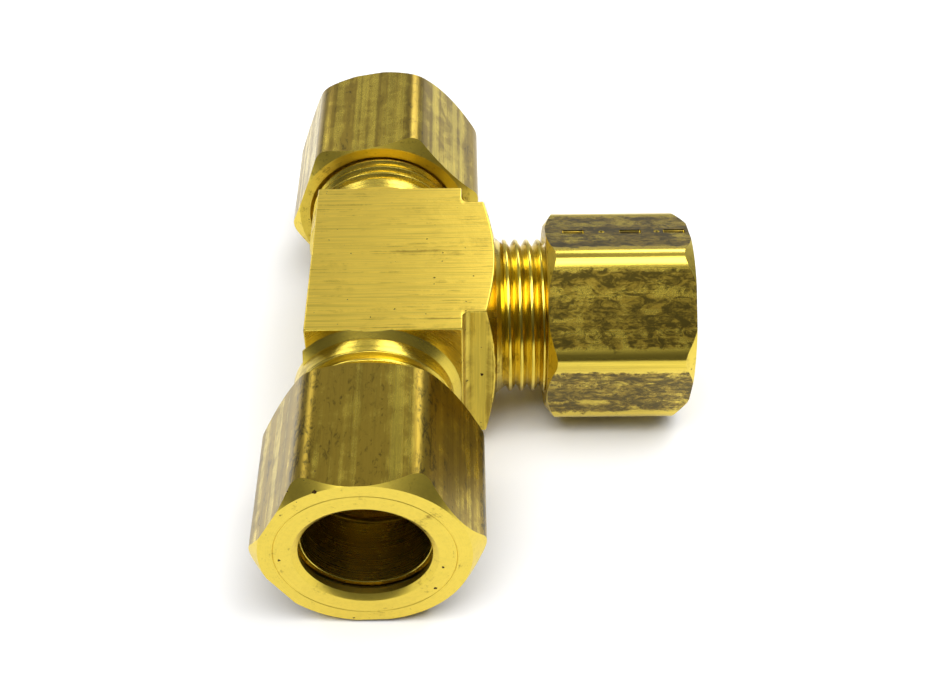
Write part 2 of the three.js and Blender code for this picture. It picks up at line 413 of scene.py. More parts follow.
body = body_block()
print("block faces:", len(body.data.polygons))

# %% [markdown]
# ## Shoulders, collars and threaded arms
# Between the block and each thread the lathe leaves a collar. On the run it is a short cone and a
# cylinder as wide as the thread's crest. On the branch it narrows towards the thread. The thread
# is trimmed by a turned shape with a chamfered end, and joined to the collar, and the whole arm is
# kept between the two sawn faces.

# %% Arm sections
ARM_END, ARM_CHAMFER = 23.05, 0.8
ARM_ROOT = THREAD_CREST - THREAD_DEPTH
SHOULDER_RADIUS, SHOULDER_END = 9.43, 12.7
RUN_SHOULDER = [
    (0, BODY_HALF_RUN - 0.15), (SHOULDER_RADIUS, BODY_HALF_RUN - 0.15),
    (SHOULDER_RADIUS, BODY_HALF_RUN), (THREAD_CREST + 0.02, SHOULDER_END), (0, SHOULDER_END),
]
RUN_NECK = [
    (0, BODY_HALF_RUN - 1), (THREAD_CREST - 0.6, BODY_HALF_RUN - 1), (THREAD_CREST, BODY_HALF_RUN),
    (THREAD_CREST, CREST_AT - 0.08), (THREAD_CREST - 0.08, CREST_AT), (0, CREST_AT),
]
BRANCH_COLLAR = [
    (0, STUB_FACE - 2), (8.8, STUB_FACE - 2), (8.8, STUB_FACE + 0.10), (8.72, STUB_FACE + 0.20),
    (8.24, CREST_AT - 0.42), (8.12, CREST_AT - 0.30),
    (ARM_ROOT, CREST_AT + 0.2), (0, CREST_AT + 0.2),
]
print("arm length past the block, mm:", round(ARM_END - BODY_HALF_RUN, 2))

# %% Arms
TURNS_BEFORE, TURNS_AFTER = 3, 2        # spare thread at both ends, which is trimmed away
BAR_BACK = 7.2                          # the run's shoulders are cut flat there, with the bar
BAR_SIZE, SLAB_SIZE = 40, 90            # mm, both wider than the tee


def arm(outlet):
    size = OUTLETS[outlet]
    turns = math.ceil((ARM_END - CREST_AT) / PITCH) + TURNS_BEFORE + TURNS_AFTER
    start = CREST_AT - TURNS_BEFORE * PITCH
    piece = threaded_rod(outlet + "_arm", THREAD_CREST, turns, start, size["top"])
    trim = turned("trim", [
        (0, CREST_AT - 0.3), (THREAD_CREST + 0.5, CREST_AT - 0.3),
        (THREAD_CREST + 0.5, ARM_END - ARM_CHAMFER - 0.5),
        (THREAD_CREST - ARM_CHAMFER, ARM_END), (0, ARM_END),
    ])
    combine(piece, trim, "INTERSECT")
    collar = turned("collar", BRANCH_COLLAR if outlet == "branch" else RUN_SHOULDER)
    if outlet != "branch":
        let_go()
        middle = (BAR_SIZE / 2 - BAR_BACK) * MM
        bpy.ops.mesh.primitive_cube_add(size=BAR_SIZE * MM, location=(middle, 0, 0))
        combine(collar, new_piece("bar"), "INTERSECT")
        combine(collar, turned("neck", RUN_NECK), "UNION")
    combine(piece, collar, "UNION")
    place(piece, size["turn"], AXIS_LIFT)
    let_go()
    bpy.ops.mesh.primitive_cube_add(
        size=1,
        location=(0, 0, AXIS_LIFT),
        scale=(SLAB_SIZE * MM, SLAB_SIZE * MM, BODY_THICK * MM),
    )
    return combine(piece, new_piece("slab"), "INTERSECT")


for outlet in OUTLETS:
    combine(body, arm(outlet), "UNION")
print("body with arms, faces:", len(body.data.polygons))

# %% [markdown]
# ## Bores and seats
# Water runs through plain drilled passages. From each outlet a wider socket takes the tube as far
# as a stop, and it opens in a 24 degree seat where the sleeve is wedged.

# %% Bores
PASSAGE, SOCKET, SOCKET_END, MOUTH = 5.3, 6.4, 12.0, 7.6
STOP_SLOPE = 0.6          # how long the small cone at the socket's bottom is
SEAT_SLOPE = math.tan(math.radians(24 / 2))
ARM_BORE = [
    (0, 0), (PASSAGE, 0), (PASSAGE, SOCKET_END - STOP_SLOPE), (SOCKET, SOCKET_END),
    (SOCKET, ARM_END - (MOUTH - SOCKET) / SEAT_SLOPE), (MOUTH, ARM_END),
    (MOUTH + SEAT_SLOPE, ARM_END + 1), (0, ARM_END + 1),
]

through = turned("through", [(0, -5), (PASSAGE, -5), (PASSAGE, 5), (0, 5)])
combine(body, place(through, OUTLETS["run_front"]["turn"], AXIS_LIFT), "DIFFERENCE")
for outlet, size in OUTLETS.items():
    bore = place(turned("bore", ARM_BORE), size["turn"], AXIS_LIFT)
    combine(body, bore, "DIFFERENCE")
print("bored body, faces:", len(body.data.polygons))

# %% [markdown]
# ## Nuts
# A nut is cut from drawn hexagon bar, whose corners are rounded more gently than a plain radius.
# A six sided cylinder is the start. Its long edges are bevelled, and its ends are trimmed by a
# turned shape with a chamfer at both ends. The edges that this leaves stay sharp, as a lathe
# leaves them. The bar sat a little off centre in the lathe, so the hexagon is a little off the
# thread's axis.

# %% Nut blank
HEX_FLATS = 20.64
HEX_RUNOUT, HEX_RUNOUT_TURN = 0.2, 15
CORNER_BREAK, CORNER_SEGMENTS, CORNER_SHAPE = 1.5, 10, 0.6
INNER_RING, INNER_FALL = 10.2, 0.75       # radius where the chamfer starts, and fall per mm outwards
OUTER_RING, OUTER_FALL = 10.4, 1.2
PAST_CORNERS = 14                         # mm, wider than the hexagon


def nut_blank(name, size):
    face = size["face"]
    inner = face - size["nut_long"]
    lean = math.radians(size["hex_turn"] + HEX_RUNOUT_TURN)
    let_go()
    bpy.ops.mesh.primitive_cylinder_add(
        vertices=6,
        radius=HEX_FLATS / 2 / math.cos(math.pi / 6) * MM,
        depth=size["nut_long"] * MM,
        end_fill_type="NGON",
        location=(
            HEX_RUNOUT * math.cos(lean) * MM,
            HEX_RUNOUT * math.sin(lean) * MM,
            (inner + face) / 2 * MM,
        ),
        rotation=(0, 0, math.radians(size["hex_turn"] + 90)),
    )
    piece = apply_place(new_piece(name))
    select_where(piece, "EDGE", lambda at, along: abs(along.z) > ALIGNED)
    bpy.ops.mesh.bevel(
        offset=CORNER_BREAK * MM,
        segments=CORNER_SEGMENTS,
        profile=CORNER_SHAPE,
        affect="EDGES",
    )
    bpy.ops.object.mode_set(mode="OBJECT")
    inner_fall = (PAST_CORNERS - INNER_RING) * INNER_FALL
    outer_fall = (PAST_CORNERS - OUTER_RING) * OUTER_FALL
    chamfers = turned("chamfers", [
        (0, inner), (INNER_RING, inner), (PAST_CORNERS, inner + inner_fall),
        (PAST_CORNERS, face - outer_fall), (OUTER_RING, face), (0, face),
    ])
    return combine(piece, chamfers, "INTERSECT")


print("across the corners, unrounded, mm:", round(HEX_FLATS / math.cos(math.pi / 6), 2))

# %% [markdown]
# ## Inside the nuts
# A tap cuts the thread, with a little room round the arm's. Then one turned shape cuts the
# countersink, the bore, the 45 degree shoulder and the hole with its small mouth, and a fine ring
# is cut in the face. The tap starts further out than the countersink, so a short stretch between
# them stays plain, and the crests of the arm run into its metal there, out of sight. A nut made to
# be looked into would start its tap below the countersink.

# %% Nut, cut from the inside
THREAD_ROOM = 0.28
NUT_HOLE, NUT_MOUTH, NUT_MOUTH_DEEP, NUT_LAND, NUT_COUNTERSINK = 6.55, 7.1, 0.45, 1.1, 9.0
MOUTH_ROUND = 0.06        # the mouth's edge is broken by this much
TAP_WIDE = 12             # mm, wider than the tap
TAP_EARLY = 1.2           # the tap is kept from this far before the nut
TAP_OFFSET, TAP_SPARE = 3, 4            # turns added to where the tap starts, and to its length
RING_AT, RING_DEEP = 8.92, 0.05         # a ring's radius and depth
RING_IN, RING_OUT = 0.10, 0.08          # how far its sides reach from there


def nut(outlet):
    size = OUTLETS[outlet]
    face = size["face"]
    inner = face - size["nut_long"]
    piece = nut_blank(outlet + "_brass_nut", size)
    crest, root = THREAD_CREST + THREAD_ROOM, ARM_ROOT + THREAD_ROOM
    shoulder = face - NUT_LAND - (root - NUT_HOLE)
    turns = math.ceil(size["nut_long"] / PITCH) + TAP_SPARE
    steps_out = TAP_OFFSET - math.ceil((CREST_AT - inner) / PITCH)
    cutter = threaded_rod("tap", crest, turns, CREST_AT + steps_out * PITCH, size["top"])
    keep = turned("keep", [
        (0, inner - TAP_EARLY), (TAP_WIDE, inner - TAP_EARLY),
        (TAP_WIDE, shoulder - 1), (0, shoulder - 1),
    ])
    combine(piece, combine(cutter, keep, "INTERSECT"), "DIFFERENCE")
    inside = turned("inside", [
        (0, inner - 1), (NUT_COUNTERSINK + 1, inner - 1), (root, inner + NUT_COUNTERSINK - root),
        (root, shoulder), (NUT_HOLE, face - NUT_LAND), (NUT_HOLE, face - NUT_MOUTH_DEEP),
        (NUT_MOUTH - MOUTH_ROUND, face - 0.05), (NUT_MOUTH + MOUTH_ROUND, face + 0.01),
        (NUT_MOUTH + 1, face + 1), (0, face + 1),
    ])
    combine(piece, inside, "DIFFERENCE")
    ring = turned("ring", [
        (RING_AT - RING_IN, face + RING_DEEP), (RING_AT, face - RING_DEEP),
        (RING_AT + RING_OUT, face + RING_DEEP), (RING_AT - RING_IN, face + RING_DEEP),
    ])
    return combine(piece, ring, "DIFFERENCE")


nuts = {outlet: nut(outlet) for outlet in OUTLETS}
for piece in nuts.values():
    print(piece.name, "faces:", len(piece.data.polygons))

# %% [markdown]
# ## Stamped marks
# One flat of the branch nut carries a row of small plain marks, bars and dimples in turn. Each is
# a cube or a ball, sized in the object's own scale, turned to the flat, and cut from the nut.

# %% Stamped marks
MARK_HALF_THICK = 0.5
BAR_HALF_WIDE, BAR_HALF_LONG, BAR_SUNK, BAR_BREAK = 0.55, 1.2, 0.2, 0.12
DIMPLE_RADIUS, DIMPLE_SUNK = 0.5, 0.16
BARS_AT = (21.9, 28.2, 33.05)           # mm from the crossing
DIMPLES_AT = (25.0, 31.1)
MARKED_FLAT = OUTLETS["branch"]["hex_turn"] + 150   # degrees, the way that flat faces


def sink(mark, along, half_wide, half_long, sunk):
    """Sizes a mark, turns it to the marked flat, and returns it ready to cut."""
    angle = math.radians(MARKED_FLAT)
    lean = math.radians(OUTLETS["branch"]["hex_turn"] + HEX_RUNOUT_TURN)
    flat_out = HEX_FLATS / 2 + HEX_RUNOUT * math.cos(lean - angle)
    middle = flat_out - sunk + MARK_HALF_THICK
    mark.location = (middle * math.cos(angle) * MM, middle * math.sin(angle) * MM, along * MM)
    mark.scale = (MARK_HALF_THICK * MM, half_wide * MM, half_long * MM)
    mark.rotation_euler = (0, 0, angle)
    return apply_place(mark)


for along in BARS_AT:
    let_go()
    bpy.ops.mesh.primitive_cube_add(size=2)
    bar = sink(new_piece("bar"), along, BAR_HALF_WIDE, BAR_HALF_LONG, BAR_SUNK)
    break_edges(bar, BAR_BREAK)
    combine(nuts["branch"], bar, "DIFFERENCE")
for along in DIMPLES_AT:
    let_go()
    bpy.ops.mesh.primitive_uv_sphere_add(segments=24, ring_count=12, radius=1)
    dimple = sink(new_piece("dimple"), along, DIMPLE_RADIUS, DIMPLE_RADIUS, DIMPLE_SUNK)
    combine(nuts["branch"], dimple, "DIFFERENCE")
print("marks:", len(BARS_AT) + len(DIMPLES_AT), "faces:", len(nuts["branch"].data.polygons))

# %% [markdown]
# ## Sleeves
# The sleeve is a brass ring, thick in the middle and thin at both ends, so that tightening the nut
# bends its ends onto the tube. It is a plain turned ring, with softly rounded corners. All three
# are alike, so it is turned once and copied, and every copy gets its own mesh.

# %% Sleeves
SLEEVE_BACK, SLEEVE_LONG, SLEEVE_RADIUS, SLEEVE_TIP = 1.8, 7.4, 7.7, 6.85
SLEEVE_SECTION = [        # (radius, down from the outer end)
    (SOCKET, -SLEEVE_LONG), (SLEEVE_TIP - 0.05, -SLEEVE_LONG), (SLEEVE_TIP, 0.06 - SLEEVE_LONG),
    (SLEEVE_RADIUS - 0.08, 1.36 - SLEEVE_LONG), (SLEEVE_RADIUS, 1.60 - SLEEVE_LONG),
    (SLEEVE_RADIUS, -0.95), (SLEEVE_RADIUS - 0.08, -0.76), (SLEEVE_TIP + 0.06, -0.06),
    (SLEEVE_TIP, 0), (SOCKET + 0.06, 0), (SOCKET, -0.06), (SOCKET, -SLEEVE_LONG),
]


def copied(piece, name):
    pick(piece)
    bpy.ops.object.duplicate(linked=False)
    return new_piece(name)


first_sleeve = turned("sleeve", SLEEVE_SECTION)
sleeves = {}
for outlet, size in OUTLETS.items():
    ring = copied(first_sleeve, outlet + "_brass_sleeve")
    place(ring, (0, 0, 0), (size["face"] - SLEEVE_BACK) * MM)
    sleeves[outlet] = place(ring, size["turn"], AXIS_LIFT)
    place(nuts[outlet], size["turn"], AXIS_LIFT)
bpy.data.objects.remove(first_sleeve)
print("sleeves:", len(sleeves))

# %% [markdown]
# ## Which finish each face gets
# One piece of brass shows several finishes, because each surface was made by another machine. The
# body's top and underside are sawn, the sides of the bar are drawn, and everything round is turned,
# about the run or about the branch. A nut's flats are drawn and all the rest of it is turned.
# The faces are told apart by where they are and which way they look, and each gets its slot.

# %% Shading and slots
SMOOTH_BELOW = 24         # degrees


def shade(piece):
    """Smooth across gentle edges. Large faces keep their own direction, so flats look flat."""
    pick(piece)
    bpy.ops.object.shade_smooth_by_angle(angle=math.radians(SMOOTH_BELOW))
    weighted = piece.modifiers.new("weighted", "WEIGHTED_NORMAL")
    weighted.keep_sharp = True
    weighted.weight = 100
    finish_modifier(piece, weighted)


def give_finishes(piece, finishes, which):
    """Puts the materials in the piece's slots. which(centre, normal) gives each face's slot."""
    piece.data.materials.clear()
    for finish in finishes:
        piece.data.materials.append(finish)
    for face in piece.data.polygons:
        face.material_index = which(face.center, face.normal)


print("smooth below, degrees:", SMOOTH_BELOW)

# %% Sorting faces
SAWN, DRAWN, TURNED_RUN, TURNED_BRANCH = range(4)
NUT_DRAWN, NUT_TURNED = range(2)
ON_THE_FACE = 0.02        # mm, how near the top or underside a sawn face's centre is
BORE_ROOM = 0.1           # mm, added to the sockets' radius
STUB_ROOM, SHOULDER_ROOM = 0.4, 0.03    # mm, how far before their planes the turned faces start
NUT_WALL = 0.4            # mm, added to the countersink's radius, where the outside starts
SIDEWAYS = 0.2            # a face looks sideways when it looks less than this along the axis


def body_finish(at, normal):
    out_x, out_y, up = at.x / MM, abs(at.y) / MM, (at.z - AXIS_LIFT) / MM
    level = abs(abs(up) - BODY_THICK / 2) < ON_THE_FACE and abs(normal.z) > ALIGNED
    if level and out_y < SHOULDER_END:
        return SAWN
    from_run, from_branch = math.hypot(out_x, up), math.hypot(at.y / MM, up)
    in_branch_bore = out_x > PASSAGE and from_branch < SOCKET + BORE_ROOM
    if out_x > STUB_FACE - STUB_ROOM or in_branch_bore:
        return TURNED_BRANCH
    if out_y > BODY_HALF_RUN - SHOULDER_ROOM or from_run < SOCKET + BORE_ROOM:
        return TURNED_RUN
    return DRAWN


def nut_finish(outlet):
    """A sorter for one nut's faces."""
    to_local = Euler(OUTLETS[outlet]["turn"]).to_matrix().inverted()

    def which(at, normal):
        here = to_local @ (at - Vector((0, 0, AXIS_LIFT))) / MM
        looks = to_local @ normal
        outside = math.hypot(here.x, here.y) > NUT_COUNTERSINK + NUT_WALL
        return NUT_DRAWN if outside and abs(looks.z) < SIDEWAYS else NUT_TURNED

    return which


sorted_faces = [body_finish(face.center, face.normal) for face in body.data.polygons]
for kind, label in enumerate(("sawn", "drawn", "turned on the run", "turned on the branch")):
    print("body faces", label + ":", sorted_faces.count(kind))

# %% [markdown]
# ## Building node trees
# The finishes are all brass, so they share their parts: coordinates in millimetres along the
# piece's own axis, noise stretched into lines, a slow noise for tarnish, and small dark pits.
# These helpers add a node and set or link its sockets, so that each finish reads as a short recipe.

# %% Adding nodes
def grow(tree, kind, settings=None, inputs=None):
    """Adds a node with its properties and inputs. An input is a plain value or another socket."""
    node = tree.nodes.new(kind)
    for key, value in (settings or {}).items():
        setattr(node, key, value)
    for key, value in (inputs or {}).items():
        if isinstance(value, bpy.types.NodeSocket):
            tree.links.new(value, node.inputs[key])
        else:
            node.inputs[key].default_value = value
    return node


def sums(tree, operation, *values):
    """One Math node. Values are numbers or sockets."""
    return grow(tree, "ShaderNodeMath", {"operation": operation}, dict(enumerate(values))).outputs[0]


def along_axis(tree, turn):
    """Object coordinates in millimetres, turned so that the outlet's axis is Z."""
    raw = grow(tree, "ShaderNodeTexCoord").outputs["Object"]
    return grow(
        tree,
        "ShaderNodeMapping",
        {"vector_type": "TEXTURE"},
        {"Vector": raw, "Location": (0, 0, AXIS_LIFT), "Rotation": turn, "Scale": (MM, MM, MM)},
    ).outputs[0]


def between(tree, value, low, high, to_low=0.0, to_high=1.0):
    """Turns low..high into to_low..to_high with soft ends."""
    return grow(tree, "ShaderNodeMapRange", {"interpolation_type": "SMOOTHSTEP"}, {
        "Value": value, "From Min": low, "From Max": high, "To Min": to_low, "To Max": to_high,
    }).outputs["Result"]


def swayed(tree, base, pattern, share):
    """The base, moved by the pattern's distance from one half times a share."""
    return sums(tree, "MULTIPLY_ADD", sums(tree, "SUBTRACT", pattern, 0.5), share, base)


def both(tree, first, share, second):
    """Two patterns added: the first with its share, the second with the rest."""
    rest = sums(tree, "MULTIPLY", second, 1.0 - share)
    return sums(tree, "ADD", sums(tree, "MULTIPLY", first, share), rest)


def mixed(tree, factor, first, second):
    """Two colours mixed by a factor. Each is a socket or four numbers."""
    node = tree.nodes.new("ShaderNodeMix")
    node.data_type = "RGBA"
    tree.links.new(factor, node.inputs[0])
    for socket, value in ((node.inputs[6], first), (node.inputs[7], second)):
        if isinstance(value, bpy.types.NodeSocket):
            tree.links.new(value, socket)
        else:
            socket.default_value = value
    return node.outputs[2]


print("node helpers ready, materials so far:", len(bpy.data.materials))

# %% [markdown]
# ## Patterns
# Noise stretched along an axis gives lines. A lathe's lines run round, so their noise changes only
# along the axis and outwards. Pits are the middles of scattered cells, made rare by raising each
# cell's own random value to a high power. A nut's corners are found by the angle round its axis.
# Hands and spanners rub them more than its flats, and on the run nuts they also carry painted
# shade for the dark that the rounded corners reflect.

# %% Patterns
LINE_OUTWARDS = 0.83      # mm along the axis that look like a step of 1 mm outwards
PITS_PER_MM = 1.2
PIT_RARITY = 8.0
PIT_CORE, PIT_EDGE, PIT_RAGGED = 0.24, 0.07, 0.5
CORNER_FULL, CORNER_GONE, CORNER_UNEVEN = 0.09, 0.17, 0.16      # radians from the corner


def stretched(tree, vector, scale):
    inputs = {"Vector": vector, "Scale": scale}
    return grow(tree, "ShaderNodeMapping", {"vector_type": "POINT"}, inputs).outputs[0]


def noise(tree, vector, scale, detail=2.0, roughness=0.5, distortion=0.0):
    return grow(tree, "ShaderNodeTexNoise", {"noise_dimensions": "3D"}, {
        "Vector": vector,
        "Scale": scale,
        "Detail": detail,
        "Roughness": roughness,
        "Distortion": distortion,
    }).outputs["Fac"]


def lathe_lines(tree, vector, per_mm):
    """Noise that changes only along the axis and outwards, as tool marks do."""
    at = grow(tree, "ShaderNodeSeparateXYZ", inputs={"Vector": vector}).outputs
    flat = grow(tree, "ShaderNodeCombineXYZ", inputs={"X": at["X"], "Y": at["Y"]}).outputs[0]
    length = grow(tree, "ShaderNodeVectorMath", {"operation": "LENGTH"}, {0: flat})
    outwards = sums(tree, "MULTIPLY", length.outputs["Value"], LINE_OUTWARDS)
    return grow(tree, "ShaderNodeTexNoise", {"noise_dimensions": "1D"}, {
        "W": sums(tree, "ADD", at["Z"], outwards),
        "Scale": per_mm,
        "Detail": 2.0,
        "Roughness": 0.6,
    }).outputs["Fac"]


def pits(tree, vector, size):
    """Scattered dark pits of uneven size: 1 inside a pit, soft at its edge."""
    cells = grow(tree, "ShaderNodeTexVoronoi", {"feature": "F1"}, {
        "Vector": vector, "Scale": PITS_PER_MM, "Randomness": 1.0,
    }).outputs
    luck = grow(tree, "ShaderNodeSeparateColor", inputs={"Color": cells["Color"]}).outputs["Red"]
    reach = sums(tree, "MULTIPLY", sums(tree, "POWER", luck, PIT_RARITY), size)
    grit = noise(tree, vector, 5.0, detail=3.0)
    ragged = sums(tree, "MULTIPLY_ADD", grit, PIT_RAGGED, cells["Distance"])
    inside = sums(tree, "SUBTRACT", sums(tree, "ADD", reach, PIT_CORE), ragged)
    return between(tree, inside, 0.0, PIT_EDGE)


def corner_zone(tree, vector, outlet):
    """1 along the rounded corners of a nut's hexagon, 0 on its flats, with an uneven edge."""
    first_corner = math.radians(OUTLETS[outlet]["hex_turn"])
    lean = first_corner + math.radians(HEX_RUNOUT_TURN)
    at = grow(tree, "ShaderNodeSeparateXYZ", inputs={"Vector": vector}).outputs
    across = sums(tree, "SUBTRACT", at["X"], HEX_RUNOUT * math.cos(lean))
    up = sums(tree, "SUBTRACT", at["Y"], HEX_RUNOUT * math.sin(lean))
    angle = sums(tree, "SUBTRACT", sums(tree, "ARCTAN2", up, across), first_corner)
    from_corner = sums(tree, "PINGPONG", angle, math.pi / 6)
    wobble = noise(tree, vector, 0.9, detail=4.0, roughness=0.6)
    from_corner = swayed(tree, from_corner, wobble, CORNER_UNEVEN)
    return between(tree, from_corner, CORNER_FULL, CORNER_GONE, 1.0, 0.0)


print("pits per mm:", PITS_PER_MM)

# %% [markdown]
# ## Brass
# Clean brass is a strong yellow metal. Handled and stored, it turns olive brown in patches, and
# dirt stays in its pits. `brass` builds a finish from a line pattern, an amount of tarnish and the
# roughness of the clean metal. The lines also change the colour a little, since dirt lies in them.

# %% Brass colours
CLEAN_BRASS = (0.75, 0.575, 0.080, 1)
TARNISHED_BRASS = (0.32, 0.220, 0.028, 1)
OLD_BRASS = (0.060, 0.046, 0.010, 1)
SAWN_BRASS = (0.93, 0.680, 0.094, 1)
PIT_BROWN = (0.06, 0.033, 0.010, 1)
print("sawn brass is lighter by:", round(SAWN_BRASS[0] / CLEAN_BRASS[0], 2))

# %% The brass recipe
STAIN_FROM, STAIN_FALL = 0.72, 0.44     # where tarnish starts in the spread, lower for more of it
STAIN_BELOW, STAIN_ABOVE = 0.10, 0.12   # the soft edge on both sides
CRUST_FROM, CRUST_TO, CRUST_FALL, CRUST_COVER = 0.60, 0.76, 0.18, 0.9
LINE_LOW, LINE_HIGH = 0.28, 0.60        # all dirt below the first height, none above the second
CORNER_SHARE = 0.35
STAIN_ROUGHER, PIT_ROUGHER = 0.07, 0.3
PATCH_HEIGHT, PIT_DEPTH = 0.8, 2.0      # against the lines' own height


def brass(name, lines, turn=(0, 0, 0), line_depth=0.006, roughness=0.22, tarnish=0.3, mottle=0.0,
          patchy=1.0, grain=0.6, streaks=0.0, pit_size=0.10, line_dirt=0.25, corners=None,
          corner_wear_and_shade=0.0, clean=CLEAN_BRASS):
    """lines(tree, vector) gives the height pattern. tarnish is the share of the surface it covers,
    and patchy, grain and streaks say how far it follows soft patches, the lines, and long streaks
    along the axis. mottle adds a second, darker layer. Along a nut's corners, the corner amount
    takes away from both as rubbed wear, or, below zero, adds to them as painted shade for the
    dark that the rounded corners reflect."""
    material = bpy.data.materials.new(name)
    material.use_nodes = True
    tree = material.node_tree
    tree.nodes.clear()
    vector = along_axis(tree, turn)
    marks = lines(tree, vector)
    patches = noise(tree, vector, 0.30, detail=8.0, roughness=0.70, distortion=0.5)
    spread = swayed(tree, 0.5, patches, patchy)
    spread = swayed(tree, spread, marks, grain)
    if streaks:
        lengthwise = stretched(tree, vector, (1.1, 1.1, 0.010))
        streak = noise(tree, lengthwise, 1.0, detail=4.0, roughness=0.55)
        spread = swayed(tree, spread, streak, streaks)
    if corners:
        # Along the corners: less tarnish as rubbed wear, or, below zero, more tarnish as painted
        # shade.
        zone = corner_zone(tree, vector, corners)
        wear_and_shade = sums(tree, "MULTIPLY", zone, CORNER_SHARE * corner_wear_and_shade)
        spread = sums(tree, "SUBTRACT", spread, wear_and_shade)
    edge = STAIN_FROM - STAIN_FALL * tarnish
    stain = between(tree, spread, edge - STAIN_BELOW, edge + STAIN_ABOVE)
    colour = mixed(tree, stain, clean, TARNISHED_BRASS)
    if mottle:
        drawn_out = stretched(tree, vector, (1.1, 1.1, 0.5))
        blotch = noise(tree, drawn_out, 1.0, detail=10.0, roughness=0.80, distortion=1.6)
        blotch = swayed(tree, blotch, spread, 0.5)
        fall = CRUST_FALL * mottle
        crust = between(tree, blotch, CRUST_FROM - fall, CRUST_TO - fall)
        colour = mixed(tree, sums(tree, "MULTIPLY", crust, CRUST_COVER), colour, OLD_BRASS)
    in_lines = between(tree, marks, LINE_LOW, LINE_HIGH, line_dirt, 0.0)
    colour = mixed(tree, in_lines, colour, OLD_BRASS)
    speck = pits(tree, vector, pit_size)
    colour = mixed(tree, speck, colour, PIT_BROWN)
    stained_rough = between(tree, stain, 0.0, 1.0, roughness, roughness + STAIN_ROUGHER)
    rough = sums(tree, "ADD", stained_rough, sums(tree, "MULTIPLY", speck, PIT_ROUGHER))
    height = sums(tree, "ADD", marks, sums(tree, "MULTIPLY", patches, PATCH_HEIGHT))
    height = sums(tree, "SUBTRACT", height, sums(tree, "MULTIPLY", speck, PIT_DEPTH))
    bump = grow(tree, "ShaderNodeBump", inputs={
        "Strength": 1.0, "Distance": line_depth * MM, "Height": height,
    })
    shader = grow(tree, "ShaderNodeBsdfPrincipled", inputs={
        "Metallic": 1.0, "Base Color": colour, "Roughness": rough, "Normal": bump.outputs[0],
    })
    output = tree.nodes.new("ShaderNodeOutputMaterial")
    tree.links.new(shader.outputs[0], output.inputs["Surface"])
    return material


print("tarnish starts at:", STAIN_FROM)

# %% [markdown]
# ## Four ways to cut metal
# A lathe leaves rings, fainter on a nut's end face. Drawing through a die leaves lines along the
# bar, and the saw left lines along the branch. Each pattern is a fine one over a broad one, and
# serves both as the finish's height and as the place where dirt lies.

# %% Line patterns
def turned_lines(tree, vector):
    return both(tree, lathe_lines(tree, vector, 7.0), 0.7, lathe_lines(tree, vector, 1.7))


def faced_lines(tree, vector):
    """A fainter lathe finish, for the nuts' end faces."""
    soft = noise(tree, vector, 2.5, detail=4.0)
    return both(tree, lathe_lines(tree, vector, 5.0), 0.35, soft)


def drawn_lines(tree, vector):
    close = stretched(tree, vector, (4.2, 4.2, 0.09))
    wide = stretched(tree, vector, (0.8, 0.8, 0.022))
    fine = noise(tree, close, 1.0, detail=4.0, roughness=0.65)
    return both(tree, fine, 0.5, noise(tree, wide, 1.0, detail=2.0))


def sawn_lines(tree, vector):
    close = stretched(tree, vector, (0.07, 4.0, 1.0))
    wide = stretched(tree, vector, (0.04, 1.3, 1.0))
    fine = noise(tree, close, 1.0, detail=3.0, roughness=0.7, distortion=0.2)
    return both(tree, fine, 0.7, noise(tree, wide, 1.0, detail=3.0))


print("lines:", turned_lines.__name__, faced_lines.__name__, drawn_lines.__name__, sawn_lines.__name__)

# %% [markdown]
# ## The finishes
# The body has been kept clean: it is bright, with dirt only in its lines. The nuts are handled and
# stored loose, so their drawn flats are far more tarnished than their faced ends, and each nut has
# a share of its own. The branch nut is the darkest, and its corners are rubbed bright. The run
# nuts' corners are darkened instead, as painted shade for the dark that they reflect.

# %% Body finishes
RUN_TURN, BRANCH_TURN = OUTLETS["run_front"]["turn"], OUTLETS["branch"]["turn"]
BACK_TURN = OUTLETS["run_back"]["turn"]
body_finishes = [
    brass("sawn_brass", sawn_lines, line_depth=0.034, roughness=0.30, tarnish=0.22, patchy=0.5,
          grain=1.2, line_dirt=0.35, pit_size=0.20, clean=SAWN_BRASS),
    brass("drawn_bar_brass", drawn_lines, line_depth=0.020, roughness=0.30, tarnish=0.34, patchy=0.5,
          streaks=0.7, pit_size=0.35, line_dirt=0.4),
    brass("turned_run_brass", turned_lines, RUN_TURN, line_depth=0.016, roughness=0.27, tarnish=0.20,
          line_dirt=0.35),
    brass("turned_branch_brass", turned_lines, BRANCH_TURN, roughness=0.20, tarnish=0.2),
]
print("body finishes:", [finish.name for finish in body_finishes])

